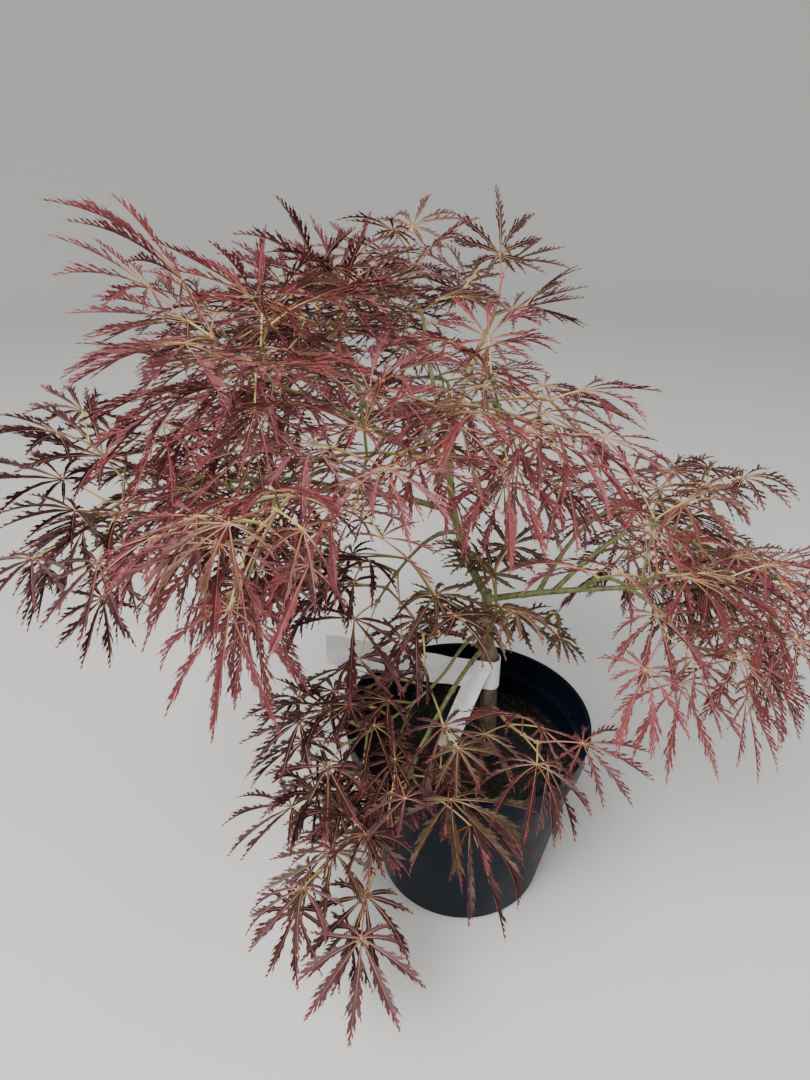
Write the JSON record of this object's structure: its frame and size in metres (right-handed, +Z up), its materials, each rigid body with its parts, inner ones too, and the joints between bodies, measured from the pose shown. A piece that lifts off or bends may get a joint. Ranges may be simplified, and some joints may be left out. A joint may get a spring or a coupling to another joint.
{
  "type": "potted japanese maple",
  "caption": "Weeping laceleaf japanese maple with deep red, finely cut leaves on thin arching boughs, in a round black nursery pot.",
  "frame": {"origin": "centre of the flat underside of the pot", "axes": "+Z up; +X to the right and +Y away as seen from the side that the picture shows"},
  "size_m": [0.5762, 0.4729, 0.5276],
  "materials": {
    "pot": "black moulded plastic with a soft sheen",
    "compost": "dark crumbly potting compost",
    "label": "blank white plastic strip",
    "bark": "smooth young bark, grey-brown below the graft and green above",
    "green_wood": "smooth green young wood",
    "leaf_red": "soft matt leaf",
    "leaf_wine": "soft matt leaf",
    "leaf_brown": "soft matt leaf",
    "leaf_pink": "soft matt leaf",
    "leaf_olive": "soft matt leaf",
    "leaf_young": "soft matt leaf"
  },
  "bodies": {
    "root": {"pot": "pot", "compost": "compost", "blank_label": "label", "trunk": "bark", "leader": "green_wood", "left_bough": "green_wood", "far_left_bough": "green_wood", "left_front_bough": "green_wood", "upper_left_bough": "green_wood", "mid_left_bough": "green_wood", "upper_mid_bough": "green_wood", "centre_top_bough": "green_wood", "top_mid_bough": "green_wood", "inner_bough": "green_wood", "trunk_spur": "green_wood", "over_pot_bough": "green_wood", "low_front_bough": "green_wood", "bottom_bough": "green_wood", "front_right_bough": "green_wood", "right_bough": "green_wood", "right_upper_bough": "green_wood", "right_mid_bough": "green_wood", "right_low_bough": "green_wood", "back_left_bough": "green_wood", "back_mid_bough": "green_wood", "back_right_bough": "green_wood", "foliage_top_left": "leaf_red", "foliage_upper_mid_left": "leaf_wine", "foliage_far_left": "leaf_brown", "foliage_left_mid": "leaf_wine", "foliage_left_front": "leaf_pink", "foliage_mid_left": "leaf_red", "foliage_centre_top": "leaf_pink", "foliage_top_sprout": "leaf_young", "foliage_top_mid": "leaf_wine", "foliage_centre": "leaf_olive", "foliage_trunk_sprout": "leaf_olive", "foliage_over_pot": "leaf_brown", "foliage_front": "leaf_wine", "foliage_front_bottom": "leaf_red", "foliage_front_right": "leaf_wine", "foliage_right_far": "leaf_red", "foliage_right_upper": "leaf_brown", "foliage_right_mid": "leaf_pink", "foliage_right_low": "leaf_red", "foliage_back_left": "leaf_wine", "foliage_back_mid": "leaf_red", "foliage_back_right": "leaf_wine"}
  },
  "joints": []
}
